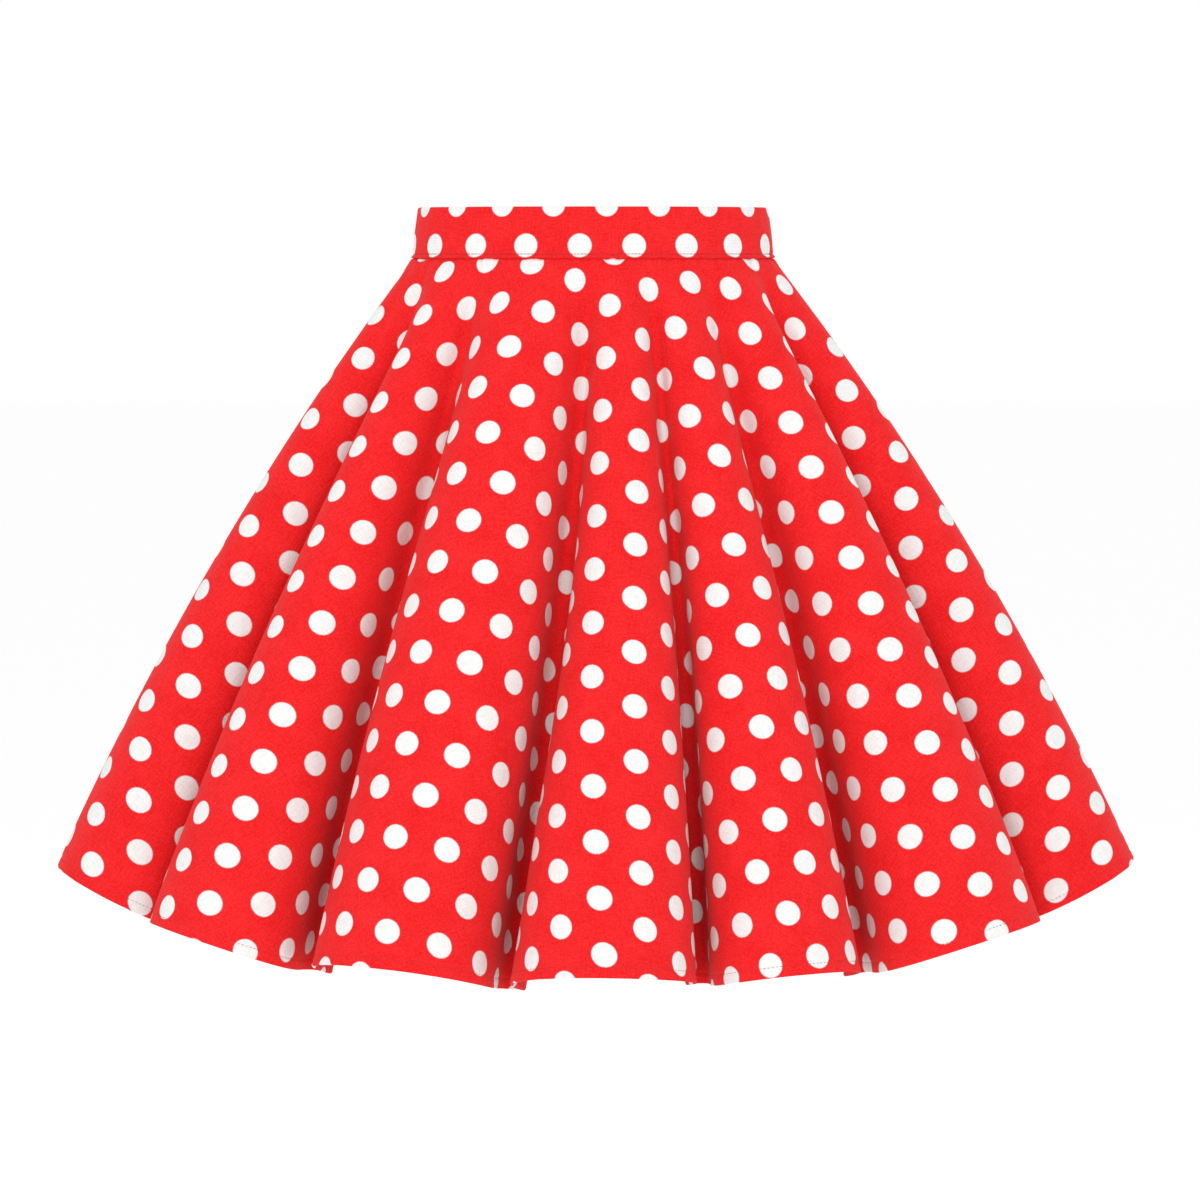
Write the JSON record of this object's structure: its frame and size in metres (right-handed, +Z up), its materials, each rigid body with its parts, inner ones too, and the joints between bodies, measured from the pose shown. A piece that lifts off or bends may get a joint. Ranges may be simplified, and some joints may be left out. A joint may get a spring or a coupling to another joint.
{
  "type": "circle skirt",
  "caption": "Knee-length full circle skirt in spotted cotton with a standing waistband and a centre back zip, filled out as if worn.",
  "frame": {"origin": "centre of the wearer's waist, level with the waist seam at the foot of the waistband", "axes": "+Z up, -Y the wearer's front, +X the wearer's left"},
  "size_m": [0.7626, 0.4766, 0.5403],
  "materials": {
    "spotted_cotton": "matte plain-weave cotton, bright red with round white spots",
    "hem_cotton": "wrong side of the same cotton, turned up and stitched",
    "zip_tape": "matte woven red tape",
    "zip_teeth": "satin red nylon",
    "zip_metal": "red lacquer on metal"
  },
  "bodies": {
    "skirt": {"waistband": "spotted_cotton", "front_panel": "spotted_cotton", "back_panel_left": "spotted_cotton", "back_panel_right": "spotted_cotton", "front_hem": "hem_cotton", "back_hem_left": "hem_cotton", "back_hem_right": "hem_cotton", "zip_tape_left": "zip_tape", "zip_tape_right": "zip_tape", "zip_chain": "zip_teeth", "zip_slider": "zip_metal"},
    "pull": {"zip_pull": "zip_metal"}
  },
  "joints": [
    {"name": "pull_swing", "type": "hinge", "parent": "skirt", "child": "pull", "pos_m": [0, 0.08554, 0.03315], "axis": [1, 0, 0], "range_deg": [0, 150]}
  ]
}
